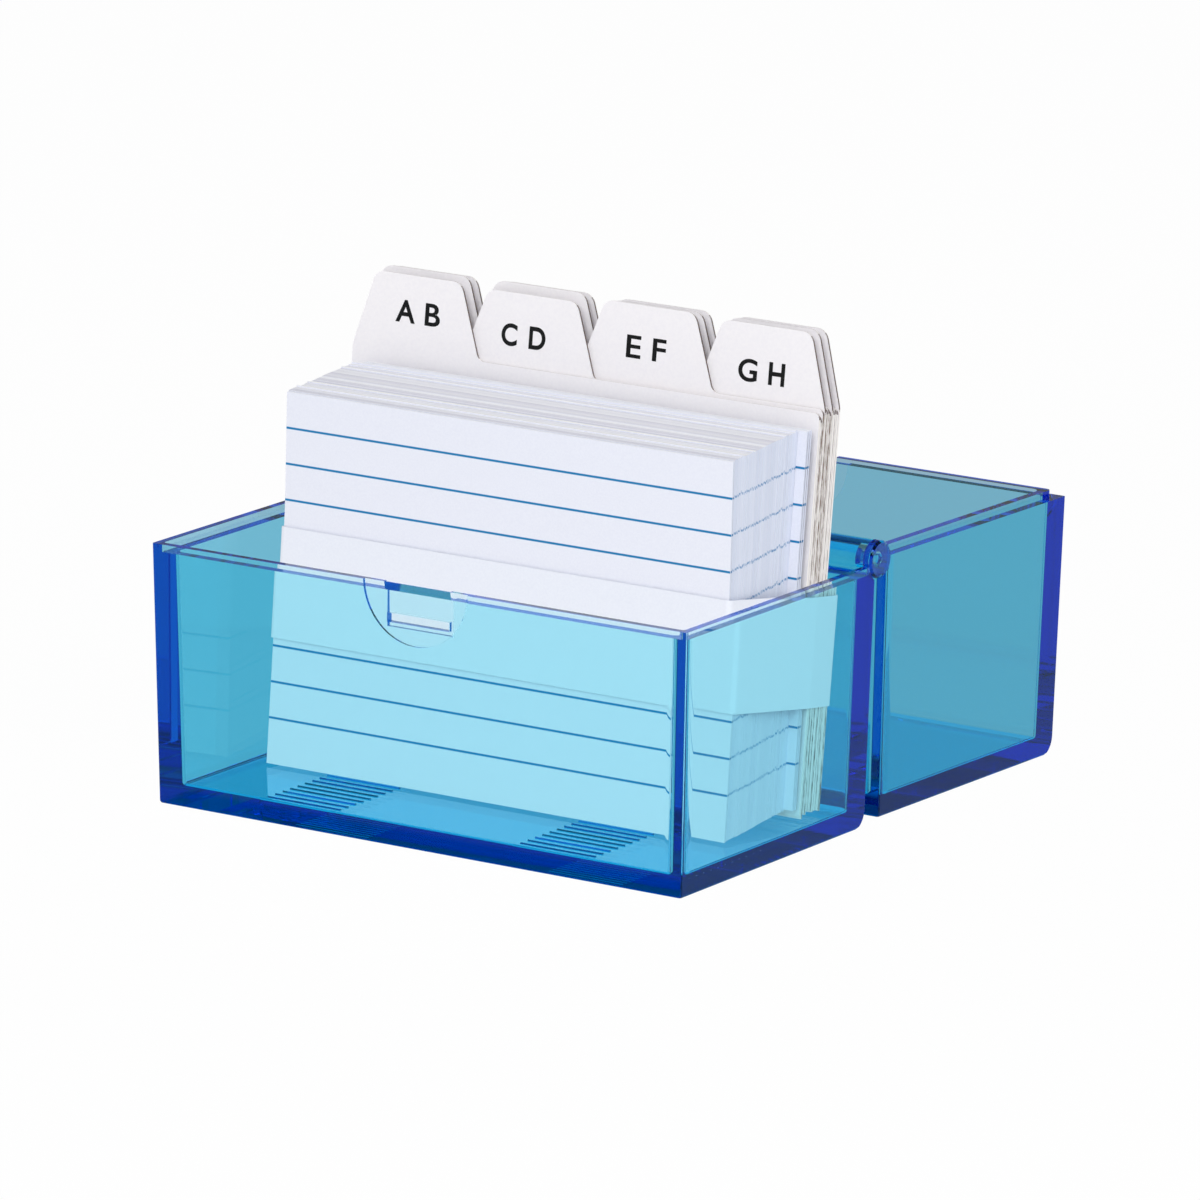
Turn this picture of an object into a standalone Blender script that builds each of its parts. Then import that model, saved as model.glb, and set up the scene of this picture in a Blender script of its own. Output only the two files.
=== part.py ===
"""Hinged flip-top box for index cards, open, with its banded pack of ruled cards and tab dividers."""

import math

import bmesh
import bpy
from mathutils import Matrix, Vector

MM = 0.001
TURN = 2 * math.pi

# The box, in millimetres. X is the width, the front faces -Y, and Z is up
BOX_WIDE = 87.4
BOX_DEEP = 47.0
BASE_TALL = 36.8
LID_TALL = 37.05
WALL = 2.6
SIDE_INSET = 0.76
END_INSET = 0.6
BOTTOM_SIDE_ROUND = 0.4
BOTTOM_FRONT_ROUND = 0.3
BOTTOM_BACK_ROUND = 2.5
OUTER_CORNER = 0.25
INNER_CORNER = 1.2
FLOOR_CORNER = 0.4
FLOOR_FILLET = 0.5
CORNER_STEPS = 8
FILLET_STEPS = 5

# The joint between the rims: the lid's lip stands in the base's rebate
CLOSED_GAP = 0.3
REBATE_DEEP = 1.2
RIM_WALL = 1.1
LIP_TALL = 1.0
LIP_CLEAR = 0.3
LIP_GAP_WIDE = 14.2
REBATE_CORNER = 0.5
LIP_CORNER = 0.9

# The hinge: a roll along the base's back edge, held between the lid's two ears
HINGE_GAP = 2.8
ROLL_RADIUS = 2.65
ROLL_CLEAR = 0.35
EAR_THICK = 1.0
EAR_SIDE_CLEAR = 0.3
EAR_CHAMFER = 0.3
EAR_OVERLAP = 0.06
RIM_ABOVE_AXIS_SHARE = 0.8
PIN_RADIUS = 0.8
PIN_LONG = 1.8
PIN_CLEAR = 0.3
PIN_ROOT = 0.5
LID_DROOP_DEGREES = 0.62
ROUND_STEPS = 40
PIN_STEPS = 20

# The clasp in the middle of the front walls
THUMB_RADIUS = 8.5
THUMB_DEEP = 0.45
CATCH_WIDE = 10.8
CHANNEL_DEEP = 0.45
CHANNEL_LOW = 30.4
RAMP_TOP = 0.6
WINDOW_WIDE = 10.2
WINDOW_LOW = 31.15
WINDOW_HIGH = 32.45
WINDOW_WALL = 1.15
TONGUE_WIDE = 9.8
TONGUE_OUT = 2.85
TONGUE_IN = 3.95
TONGUE_LONG = 6.2
TONGUE_ROOT = 3.4
TONGUE_ROOT_IN = 2.0
TONGUE_ROOT_OUT = 2.2
TONGUE_SEAT = 0.15
BARB_OUT = 2.62
BARB_HIGH = 5.5
BARB_LOW = 5.2
BARB_FOOT = 4.9
TONGUE_TIP_OUT = 3.05
TONGUE_TIP_IN = 3.5
TONGUE_TIP_BEVEL = 0.6

# The anti-slip ribs on the base's floor, in two groups
RIB_TALL = 0.2
RIB_WIDE = 0.45
RIB_TOP_SHARE = 0.4
RIB_LONG_SHARE = 0.1384
RIB_OFFSET_SHARE = 0.2391
RIB_PITCH = 1.765
RIB_FIRST = 3.45
RIB_BACK_ROOM = 5.5
RIB_ROOT = 0.6

# The pack: one front card, five bundles, three loose cards and twelve dividers
CARD_SIDE_ROOM = 7.38
CARD_TALL = 52.0
CARD_THICK = 0.2
CARD_SHIFT = -0.45
PACK_FRONT_SHARE = 0.4051
PACK_BACK_ROOM = 6.79
STAND_CLEAR = 0.15
BUNDLE_COUNT = 5
BUNDLE_RISE = 1.2
SHEET_GAP = 0.12
LOOSE_SHIFT = 1.45
LOOSE_PITCH = 0.34
LOOSE_RISE = 1.5
DIVIDER_SIDE_ROOM = 3.58
DIVIDER_TALL = 55.2
DIVIDER_THICK = 0.32
DIVIDER_SHIFT = -0.65
DIVIDER_PITCH = 0.45
DIVIDER_GAP = 0.2
LEAN_CLEAR = 0.38
TAB_TALL = 10.5
TAB_SPACING_SHARE = 0.24643
TAB_TOP_SHARE = 0.774
TAB_SLOPE_SHARE = 0.355
TAB_OUTER_INSET = 3.1
TAB_TOP_ROUND = 1.9
TAB_FOOT_ROUND = 1.4
TAB_OUTER_ROUND = 5.0
BODY_ROUND = 0.9
TABS_ACROSS = 4
TAB_STEPS = 5

# The dividers from the front, and how far each stands above the lowest one
LETTERS = ("ab", "cd", "ef", "gh", "ij", "kl", "mn", "op", "qr", "st", "uv", "wz")
DIVIDER_RISES = (0.4, 0.0, 0.8, 0.4, 0.9, 0.9, 0.5, 0.4, 0.5, 0.5, 0.35, 0.2)

# How far each piece of the pack leans, as a share of the dividers' lean. Above the band the cards
# bend forward between two shares of their height, and the front ones bend most
STACK_LOW_SHARE = 0.757
FRONT_HIGH_SHARE = 0.227
STACK_HIGH_SHARE = 0.938
LOOSE_SHARES = ((0.77, 0.945), (0.8, 0.955), (0.83, 0.965))
BEND_START_SHARE = 0.6
BEND_END_SHARE = 0.74
BEND_STEPS = 4
BAND_SHARE = 1.2

# The paper band round the pack
BAND_LOW = 17.7
BAND_HIGH = 33.0
BAND_THICK = 0.22
BAND_CLEAR = 0.18
BAND_CORNER = 0.4

# Booleans cut past a face by this much, and then points this close are merged
PAST = 1.0
MERGE_GAP = 0.002
SMOOTH_DEGREES = 32

# Derived sizes
HALF_WIDE = BOX_WIDE / 2
HALF_DEEP = BOX_DEEP / 2
HINGE_Y = HALF_DEEP + HINGE_GAP / 2
LID_RIM_ABOVE_AXIS = CLOSED_GAP * RIM_ABOVE_AXIS_SHARE
HINGE_Z = BASE_TALL + CLOSED_GAP + LID_RIM_ABOVE_AXIS
CUT_RADIUS = ROLL_RADIUS + ROLL_CLEAR
LIP_OUTER = RIM_WALL + LIP_CLEAR
INNER_WIDE = BOX_WIDE - 2 * (WALL + SIDE_INSET)
RIB_LONG = BOX_WIDE * RIB_LONG_SHARE
RIB_OFFSET = BOX_WIDE * RIB_OFFSET_SHARE
RIB_COUNT = 1 + int((BOX_DEEP - RIB_FIRST - RIB_BACK_ROOM) / RIB_PITCH)
STAND_Z = WALL + RIB_TALL + STAND_CLEAR
CARD_WIDE = INNER_WIDE - CARD_SIDE_ROOM
DIVIDER_WIDE = INNER_WIDE - DIVIDER_SIDE_ROOM
TAB_SPACING = DIVIDER_WIDE * TAB_SPACING_SHARE
TAB_TOP_WIDE = TAB_SPACING * TAB_TOP_SHARE
PACK_FRONT = BOX_DEEP * PACK_FRONT_SHARE
PACK_BACK = BOX_DEEP - PACK_BACK_ROOM
PIVOT_Y = PACK_FRONT - HALF_DEEP

# The last divider leans on the ledge of the base's back wall
LEDGE_Z = BASE_TALL - REBATE_DEEP
LEDGE_Y = BOX_DEEP - WALL - END_INSET * REBATE_DEEP / BASE_TALL
DIVIDER_LEAN = math.degrees(math.atan2(LEDGE_Y - LEAN_CLEAR - PACK_BACK, LEDGE_Z - STAND_Z))
STACK_LEAN = DIVIDER_LEAN * STACK_LOW_SHARE
BAND_LEAN = DIVIDER_LEAN * BAND_SHARE

# The bundles fill the depth that the other pieces leave
DIVIDERS_DEEP = DIVIDER_THICK / math.cos(math.radians(DIVIDER_LEAN)) + DIVIDER_PITCH * (len(LETTERS) - 1)
LOOSE_DEEP = len(LOOSE_SHARES) * LOOSE_PITCH + DIVIDER_GAP
FRONT_DEEP = CARD_THICK + SHEET_GAP
BUNDLES_DEEP = PACK_BACK - PACK_FRONT - FRONT_DEEP - LOOSE_DEEP - DIVIDERS_DEEP
BUNDLE_THICK = BUNDLES_DEEP / BUNDLE_COUNT - SHEET_GAP

BLUE = (0.18, 0.62, 0.86, 0.45)
CARD_WHITE = (0.86, 0.87, 0.92, 1.0)
BOARD_WHITE = (0.84, 0.82, 0.82, 1.0)
BAND_WHITE = (0.93, 0.94, 0.96, 1.0)


def clear_scene():
    for obj in list(bpy.data.objects):
        bpy.data.objects.remove(obj, do_unlink=True)


def material(name, colour, roughness, transmission):
    made = bpy.data.materials.new(name)
    made.use_nodes = True
    shader = made.node_tree.nodes["Principled BSDF"]
    shader.inputs["Base Color"].default_value = colour
    shader.inputs["Roughness"].default_value = roughness
    shader.inputs["Transmission Weight"].default_value = transmission
    shader.inputs["Alpha"].default_value = 1.0
    return made


def object_from(name, bm, colour, roughness=0.5, transmission=0.0):
    bmesh.ops.recalc_face_normals(bm, faces=bm.faces[:])
    mesh = bpy.data.meshes.new(name)
    bm.to_mesh(mesh)
    bm.free()
    mesh.materials.append(material(name, colour, roughness, transmission))
    obj = bpy.data.objects.new(name, mesh)
    bpy.context.scene.collection.objects.link(obj)
    return obj


def point(x, y, z):
    return Vector((x * MM, y * MM, z * MM))


def ring(x0, x1, y0, y1, z, radius):
    """One rounded rectangle, anticlockwise from above, with the same number of points at any radius."""
    centres = (
        (x1 - radius, y0 + radius, -0.25),
        (x1 - radius, y1 - radius, 0.0),
        (x0 + radius, y1 - radius, 0.25),
        (x0 + radius, y0 + radius, 0.5),
    )
    points = []
    for cx, cy, start in centres:
        for step in range(CORNER_STEPS + 1):
            angle = (start + 0.25 * step / CORNER_STEPS) * TURN
            points.append(point(cx + radius * math.cos(angle), cy + radius * math.sin(angle), z))
    return points


def loft(bm, rings, closed):
    """Bridges each ring to the next. Unless closed, the first and last rings get a flat cap."""
    loops = [[bm.verts.new(p) for p in one] for one in rings]
    pairs = list(zip(loops, loops[1:]))
    if closed:
        pairs.append((loops[-1], loops[0]))
    for low, high in pairs:
        count = len(low)
        for i in range(count):
            j = (i + 1) % count
            bm.faces.new((low[i], low[j], high[j], high[i]))
    if not closed:
        bm.faces.new(loops[0][::-1])
        bm.faces.new(loops[-1])


def rounding(radius, height):
    """How far a bottom edge of this radius stands in at a height above the underside."""
    if height >= radius or radius <= 0:
        return 0.0
    return radius - math.sqrt(radius * radius - (radius - height) ** 2)


def tray_rings(tall, front_round, back_round, rim_rings):
    """A drafted tray's rings: its rim is at z = 0, its underside at -tall and its front face at y = 0."""
    side_round = BOTTOM_SIDE_ROUND
    largest = max(front_round, back_round, side_round)
    heights = {0.0, side_round, largest}
    for step in range(1, FILLET_STEPS + 1):
        heights.add(largest * (1 - math.cos(step / (FILLET_STEPS + 1) * TURN / 4)))
    rings = []
    for height in sorted(heights):
        low = (tall - height) / tall
        side = SIDE_INSET * low + rounding(side_round, height)
        front = END_INSET * low + rounding(front_round, height)
        back = END_INSET * low + rounding(back_round, height)
        rings.append(
            ring(-HALF_WIDE + side, HALF_WIDE - side, front, BOX_DEEP - back, height - tall, OUTER_CORNER)
        )
    for inset, z, radius in rim_rings:
        rings.append(ring(-HALF_WIDE + inset, HALF_WIDE - inset, inset, BOX_DEEP - inset, z, radius))
    for step in range(FILLET_STEPS + 1):
        angle = step / FILLET_STEPS * TURN / 4
        height = WALL + FLOOR_FILLET * (1 - math.sin(angle))
        share = (tall - height) / tall
        extra = WALL + FLOOR_FILLET * (1 - math.cos(angle))
        side = SIDE_INSET * share + extra
        end = END_INSET * share + extra
        rings.append(
            ring(
                -HALF_WIDE + side,
                HALF_WIDE - side,
                end,
                BOX_DEEP - end,
                height - tall,
                FLOOR_CORNER + (INNER_CORNER - FLOOR_CORNER) * math.cos(angle),
            )
        )
    return rings


def prism_x(points, x0, x1):
    """A solid with this outline in Y and Z, from x0 to x1."""
    bm = bmesh.new()
    face = bm.faces.new([bm.verts.new(point(x0, y, z)) for y, z in points])
    grown = bmesh.ops.extrude_face_region(bm, geom=[face])
    moved = [v for v in grown["geom"] if isinstance(v, bmesh.types.BMVert)]
    bmesh.ops.translate(bm, verts=moved, vec=Vector(((x1 - x0) * MM, 0, 0)))
    bmesh.ops.recalc_face_normals(bm, faces=bm.faces[:])
    return bm


def box(x0, x1, y0, y1, z0, z1):
    return prism_x(((y0, z0), (y1, z0), (y1, z1), (y0, z1)), x0, x1)


def disc_outline(y, z, radius, steps):
    return [
        (y + radius * math.cos(TURN * (i + 0.5) / steps), z + radius * math.sin(TURN * (i + 0.5) / steps))
        for i in range(steps)
    ]


def cylinder_x(y, z, radius, x0, x1, steps):
    return prism_x(disc_outline(y, z, radius, steps), x0, x1)


def helper(name, bm):
    """A hidden cutter or joined piece for a Boolean."""
    mesh = bpy.data.meshes.new(name)
    bm.to_mesh(mesh)
    bm.free()
    obj = bpy.data.objects.new(name, mesh)
    bpy.context.scene.collection.objects.link(obj)
    obj.hide_render = True
    obj.display_type = "WIRE"
    return obj


def boolean(obj, bm, operation, name):
    """Applies one exact Boolean at once, so that the next works on its result."""
    other = helper(name, bm)
    modifier = obj.modifiers.new(name, "BOOLEAN")
    modifier.operation = operation
    modifier.solver = "EXACT"
    modifier.object = other
    graph = bpy.context.evaluated_depsgraph_get()
    evaluated = obj.evaluated_get(graph)
    made = bpy.data.meshes.new_from_object(evaluated, preserve_all_data_layers=True, depsgraph=graph)
    old = obj.data
    obj.modifiers.remove(modifier)
    obj.data = made
    made.name = obj.name
    bpy.data.meshes.remove(old)
    bpy.data.objects.remove(other, do_unlink=True)


def tidy(obj):
    """Merges the points that a Boolean leaves on one spot, and smooths by angle."""
    bm = bmesh.new()
    bm.from_mesh(obj.data)
    bmesh.ops.remove_doubles(bm, verts=bm.verts[:], dist=MERGE_GAP * MM)
    bmesh.ops.dissolve_degenerate(bm, edges=bm.edges[:], dist=MERGE_GAP * MM / 2)
    bm.to_mesh(obj.data)
    bm.free()
    obj.data.shade_smooth()
    obj.data.set_sharp_from_angle(angle=math.radians(SMOOTH_DEGREES))


def thumb_cut(face_y, rim_z, inward):
    """The shallow half-round thumb recess, cut into a front face. inward is the sign of Y into the wall."""
    steps = ROUND_STEPS * 2
    bm = bmesh.new()
    outline = [
        bm.verts.new(
            point(
                THUMB_RADIUS * math.cos(TURN * (i + 0.5) / steps),
                face_y - inward * PAST,
                rim_z + THUMB_RADIUS * math.sin(TURN * (i + 0.5) / steps),
            )
        )
        for i in range(steps)
    ]
    face = bm.faces.new(outline)
    grown = bmesh.ops.extrude_face_region(bm, geom=[face])
    moved = [v for v in grown["geom"] if isinstance(v, bmesh.types.BMVert)]
    bmesh.ops.translate(bm, verts=moved, vec=Vector((0, inward * (PAST + THUMB_DEEP) * MM, 0)))
    bmesh.ops.recalc_face_normals(bm, faces=bm.faces[:])
    return bm


def rib_solids():
    """All the floor ribs in one mesh of separate small bars with bevelled tops."""
    bm = bmesh.new()
    floor = WALL
    for group in (-1, 1):
        middle = group * RIB_OFFSET
        for i in range(RIB_COUNT):
            y = RIB_FIRST + i * RIB_PITCH - HALF_DEEP
            half = RIB_WIDE / 2
            top = half * RIB_TOP_SHARE
            bar = prism_x(
                (
                    (y - half, floor - RIB_ROOT),
                    (y + half, floor - RIB_ROOT),
                    (y + half, floor),
                    (y + top, floor + RIB_TALL),
                    (y - top, floor + RIB_TALL),
                    (y - half, floor),
                ),
                middle - RIB_LONG / 2,
                middle + RIB_LONG / 2,
            )
            mesh = bpy.data.meshes.new("bar")
            bar.to_mesh(mesh)
            bar.free()
            bm.from_mesh(mesh)
            bpy.data.meshes.remove(mesh)
    return bm


def make_base():
    rim = (
        (0.0, 0.0, OUTER_CORNER),
        (RIM_WALL, 0.0, REBATE_CORNER),
        (RIM_WALL, -REBATE_DEEP, REBATE_CORNER),
        (WALL, -REBATE_DEEP, INNER_CORNER),
    )
    bm = bmesh.new()
    loft(bm, tray_rings(BASE_TALL, BOTTOM_FRONT_ROUND, BOTTOM_BACK_ROUND, rim), closed=False)
    bmesh.ops.translate(bm, verts=bm.verts[:], vec=point(0, -HALF_DEEP, BASE_TALL))
    obj = object_from("base_tray", bm, BLUE, 0.06, 0.85)
    front = -HALF_DEEP
    boolean(obj, rib_solids(), "UNION", "ribs")
    roll_end = HALF_WIDE - EAR_THICK + EAR_SIDE_CLEAR
    roll = cylinder_x(HINGE_Y, HINGE_Z, ROLL_RADIUS, -roll_end, roll_end, ROUND_STEPS)
    boolean(obj, roll, "UNION", "roll")
    inner = HALF_WIDE - EAR_THICK - EAR_SIDE_CLEAR
    for side in (-1, 1):
        ends = sorted((side * inner, side * (HALF_WIDE + PAST)))
        boolean(obj, cylinder_x(HINGE_Y, HINGE_Z, CUT_RADIUS, *ends, ROUND_STEPS), "DIFFERENCE", "ear_room")
        ends = sorted((side * (inner - PIN_LONG), side * (inner + PAST)))
        hole = cylinder_x(HINGE_Y, HINGE_Z, PIN_RADIUS + PIN_CLEAR, *ends, PIN_STEPS)
        boolean(obj, hole, "DIFFERENCE", "pin_hole")
    boolean(obj, thumb_cut(front, BASE_TALL + CLOSED_GAP / 2, 1), "DIFFERENCE", "thumb")
    half = CATCH_WIDE / 2
    channel_face = front + WALL - CHANNEL_DEEP
    ledge = BASE_TALL - REBATE_DEEP
    channel = prism_x(
        (
            (channel_face, CHANNEL_LOW),
            (front + WALL + INNER_CORNER, CHANNEL_LOW),
            (front + WALL + INNER_CORNER, BASE_TALL + PAST),
            (front + RAMP_TOP, BASE_TALL + PAST),
            (front + RAMP_TOP, BASE_TALL),
            (front + RIM_WALL, ledge),
            (channel_face, ledge),
        ),
        -half,
        half,
    )
    boolean(obj, channel, "DIFFERENCE", "channel")
    half = WINDOW_WIDE / 2
    window = box(-half, half, front + WINDOW_WALL, front + WALL + PAST, WINDOW_LOW, WINDOW_HIGH)
    boolean(obj, window, "DIFFERENCE", "window")
    tidy(obj)
    return obj


def make_lid():
    """The lid, modelled open: its rim faces up, and its origin is on the hinge axis."""
    near = HINGE_GAP / 2
    rim_z = LID_RIM_ABOVE_AXIS
    rim = (
        (0.0, 0.0, OUTER_CORNER),
        (LIP_OUTER, 0.0, LIP_CORNER),
        (LIP_OUTER, LIP_TALL, LIP_CORNER),
        (WALL, LIP_TALL, INNER_CORNER),
    )
    bm = bmesh.new()
    loft(bm, tray_rings(LID_TALL, BOTTOM_FRONT_ROUND, BOTTOM_BACK_ROUND, rim), closed=False)
    bmesh.ops.translate(bm, verts=bm.verts[:], vec=point(0, near, rim_z))
    obj = object_from("lid_shell", bm, BLUE, 0.06, 0.85)
    far = near + BOX_DEEP
    past = BOX_WIDE
    over = rim_z + LIP_TALL + PAST
    lip_start = CUT_RADIUS + PAST
    boolean(obj, box(-past, past, -past, lip_start, rim_z, over), "DIFFERENCE", "lip_hinge_side")
    half = LIP_GAP_WIDE / 2
    boolean(obj, box(-half, half, far - WALL - PAST, far + PAST, rim_z, over), "DIFFERENCE", "lip_gap")
    inner = HALF_WIDE - EAR_THICK
    room = cylinder_x(0, 0, CUT_RADIUS, -inner, inner, ROUND_STEPS)
    boolean(obj, room, "DIFFERENCE", "roll_room")
    for side in (-1, 1):
        boolean(obj, ear_solid(side), "UNION", "ear")
        ends = sorted((side * (inner - PIN_LONG + PIN_CLEAR), side * (HALF_WIDE - PIN_ROOT)))
        boolean(obj, cylinder_x(0, 0, PIN_RADIUS, *ends, PIN_STEPS), "UNION", "pin")
    boolean(obj, thumb_cut(far, rim_z + CLOSED_GAP / 2, -1), "DIFFERENCE", "thumb")
    half = TONGUE_WIDE / 2
    outline = (
        (TONGUE_ROOT_OUT, -TONGUE_ROOT),
        (WALL + CLOSED_GAP, -TONGUE_ROOT),
        (TONGUE_IN, -TONGUE_ROOT_IN),
        (TONGUE_IN, TONGUE_LONG - TONGUE_TIP_BEVEL),
        (TONGUE_TIP_IN, TONGUE_LONG),
        (TONGUE_TIP_OUT, TONGUE_LONG),
        (BARB_OUT, BARB_HIGH),
        (BARB_OUT, BARB_LOW),
        (TONGUE_OUT, BARB_FOOT),
        (TONGUE_OUT, -TONGUE_SEAT),
        (TONGUE_ROOT_OUT, -TONGUE_SEAT),
    )
    tongue = prism_x([(far - u, rim_z + z) for u, z in outline], -half, half)
    boolean(obj, tongue, "UNION", "tongue")
    tidy(obj)
    obj.location = point(0, HINGE_Y, HINGE_Z)
    obj.rotation_euler = (-math.radians(LID_DROOP_DEGREES), 0, 0)
    return obj


def ear_solid(side):
    """A disc on the hinge axis, flush with the lid's side face, with a small chamfer outside."""
    bm = bmesh.new()
    inside = side * (HALF_WIDE - EAR_THICK - EAR_OVERLAP)
    levels = (
        (inside, ROLL_RADIUS),
        (side * (HALF_WIDE - EAR_CHAMFER), ROLL_RADIUS),
        (side * HALF_WIDE, ROLL_RADIUS - EAR_CHAMFER),
    )
    rings = []
    for x, radius in levels:
        rings.append([point(x, y, z) for y, z in disc_outline(0, 0, radius, ROUND_STEPS)])
    loft(bm, rings, closed=False)
    bmesh.ops.recalc_face_normals(bm, faces=bm.faces[:])
    return bm


def leaning(y, z, lean, height):
    """The Y and Z of a point this far up a sheet that leans back from its foot at y, z."""
    angle = math.radians(lean)
    return y + height * math.sin(angle), z + height * math.cos(angle)


def place_in_pack(obj, pivot):
    """Sets the object's origin on the pack's tilt axis and parents it there."""
    obj.data.transform(pivot.matrix_world.inverted())
    obj.parent = pivot


def card_line(foot_y, foot_z, low_share, high_share):
    """The side view of a card's face, from its foot up, with the bend above the band."""
    bend = BEND_END_SHARE - BEND_START_SHARE
    stops = [0.0]
    stops += [BEND_START_SHARE + bend * step / BEND_STEPS for step in range(BEND_STEPS + 1)]
    stops.append(1.0)
    y, z = foot_y, foot_z
    line = [(y, z)]
    for first, second in zip(stops, stops[1:]):
        bent = min(1.0, max(0.0, ((first + second) / 2 - BEND_START_SHARE) / bend))
        lean = DIVIDER_LEAN * (low_share + (high_share - low_share) * bent)
        y, z = leaning(y, z, lean, (second - first) * CARD_TALL)
        line.append((y, z))
    return line


def make_block(name, x0, x1, front, back, colour):
    """A card or a bundle of cards between two lines in the side view."""
    return object_from(name, prism_x(front + back[::-1], x0, x1), colour, 0.75)


def rounded(points):
    """The outline with an arc in place of each corner that has a radius."""
    result = []
    count = len(points)
    for i, (x, h, radius) in enumerate(points):
        here = Vector((x, h))
        if radius <= 0:
            result.append((x, h))
            continue
        before = (Vector(points[i - 1][:2]) - here).normalized()
        after = (Vector(points[(i + 1) % count][:2]) - here).normalized()
        half = before.angle(after) / 2
        reach = radius / math.tan(half)
        centre = here + (before + after).normalized() * (radius / math.sin(half))
        start = here + before * reach - centre
        end = here + after * reach - centre
        sweep = start.angle_signed(end)
        for step in range(TAB_STEPS + 1):
            turned = start.copy()
            turned.rotate(Matrix.Rotation(-sweep * step / TAB_STEPS, 2))
            result.append((centre.x + turned.x, centre.y + turned.y))
    return result


def divider_outline(slot):
    """The outline of a divider whose tab is in this place, from 0 at the left."""
    left = DIVIDER_SHIFT - DIVIDER_WIDE / 2
    right = DIVIDER_SHIFT + DIVIDER_WIDE / 2
    middle = DIVIDER_SHIFT + (slot - (TABS_ACROSS - 1) / 2) * TAB_SPACING
    top = DIVIDER_TALL + TAB_TALL
    half = TAB_TOP_WIDE / 2
    foot = half + TAB_TALL * TAB_SLOPE_SHARE
    points = [(left, 0.0, 0.0), (right, 0.0, 0.0)]
    if slot < TABS_ACROSS - 1:
        points.append((right, DIVIDER_TALL, BODY_ROUND))
        points.append((middle + foot, DIVIDER_TALL, TAB_FOOT_ROUND))
        points.append((middle + half, top, TAB_TOP_ROUND))
    else:
        points.append((right, DIVIDER_TALL, TAB_OUTER_ROUND))
        points.append((right - TAB_OUTER_INSET, top, TAB_TOP_ROUND))
    if slot > 0:
        points.append((middle - half, top, TAB_TOP_ROUND))
        points.append((middle - foot, DIVIDER_TALL, TAB_FOOT_ROUND))
        points.append((left, DIVIDER_TALL, BODY_ROUND))
    else:
        points.append((left + TAB_OUTER_INSET, top, TAB_TOP_ROUND))
        points.append((left, DIVIDER_TALL, TAB_OUTER_ROUND))
    return rounded(points)


def make_divider(name, slot, foot_y, rise):
    """A board divider, extruded from its outline and leaned back."""
    bm = bmesh.new()
    angle = math.radians(DIVIDER_LEAN)
    foot_z = STAND_Z + DIVIDER_THICK * math.sin(angle)
    verts = []
    for x, height in divider_outline(slot):
        y, z = leaning(foot_y, foot_z, DIVIDER_LEAN, rise + height)
        verts.append(bm.verts.new(point(x, y, z)))
    face = bm.faces.new(verts)
    grown = bmesh.ops.extrude_face_region(bm, geom=[face])
    moved = [v for v in grown["geom"] if isinstance(v, bmesh.types.BMVert)]
    thick = DIVIDER_THICK * MM
    bmesh.ops.translate(bm, verts=moved, vec=Vector((0, thick * math.cos(angle), -thick * math.sin(angle))))
    return object_from(name, bm, BOARD_WHITE, 0.8)


def band_outline(deep, grow):
    """The band's section from above, pulled tight over cards and dividers, and offset outwards."""
    card_left = CARD_SHIFT - CARD_WIDE / 2
    card_right = CARD_SHIFT + CARD_WIDE / 2
    board_left = DIVIDER_SHIFT - DIVIDER_WIDE / 2
    board_right = DIVIDER_SHIFT + DIVIDER_WIDE / 2
    knee = deep - DIVIDERS_DEEP
    corners = (
        (card_left - grow, -grow),
        (card_right + grow, -grow),
        (board_right + grow, knee),
        (board_right + grow, deep + grow),
        (board_left - grow, deep + grow),
        (board_left - grow, knee),
    )
    radius = BAND_CORNER + grow
    return rounded([(x, y, radius) for x, y in corners])


def make_band(front_foot, back_foot):
    """A closed loop of paper round the pack, square to the cards."""
    angle = math.radians(BAND_LEAN)
    along = (math.cos(angle), -math.sin(angle))
    slope = math.tan(math.radians(DIVIDER_LEAN))
    bm = bmesh.new()
    sides = {}
    for height in (BAND_LOW, BAND_HIGH):
        y0, z0 = leaning(front_foot, STAND_Z, STACK_LEAN, height)
        offset = back_foot + (z0 - STAND_Z) * slope - y0
        sides[height] = (y0, z0, offset / (along[0] - along[1] * slope))
    inside = BAND_CLEAR
    outside = BAND_CLEAR + BAND_THICK
    rings = []
    for height, grow in ((BAND_LOW, inside), (BAND_LOW, outside), (BAND_HIGH, outside), (BAND_HIGH, inside)):
        y0, z0, deep = sides[height]
        rings.append([point(x, y0 + y * along[0], z0 + y * along[1]) for x, y in band_outline(deep, grow)])
    loft(bm, rings, closed=True)
    return object_from("paper_band", bm, BAND_WHITE, 0.7)


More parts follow.
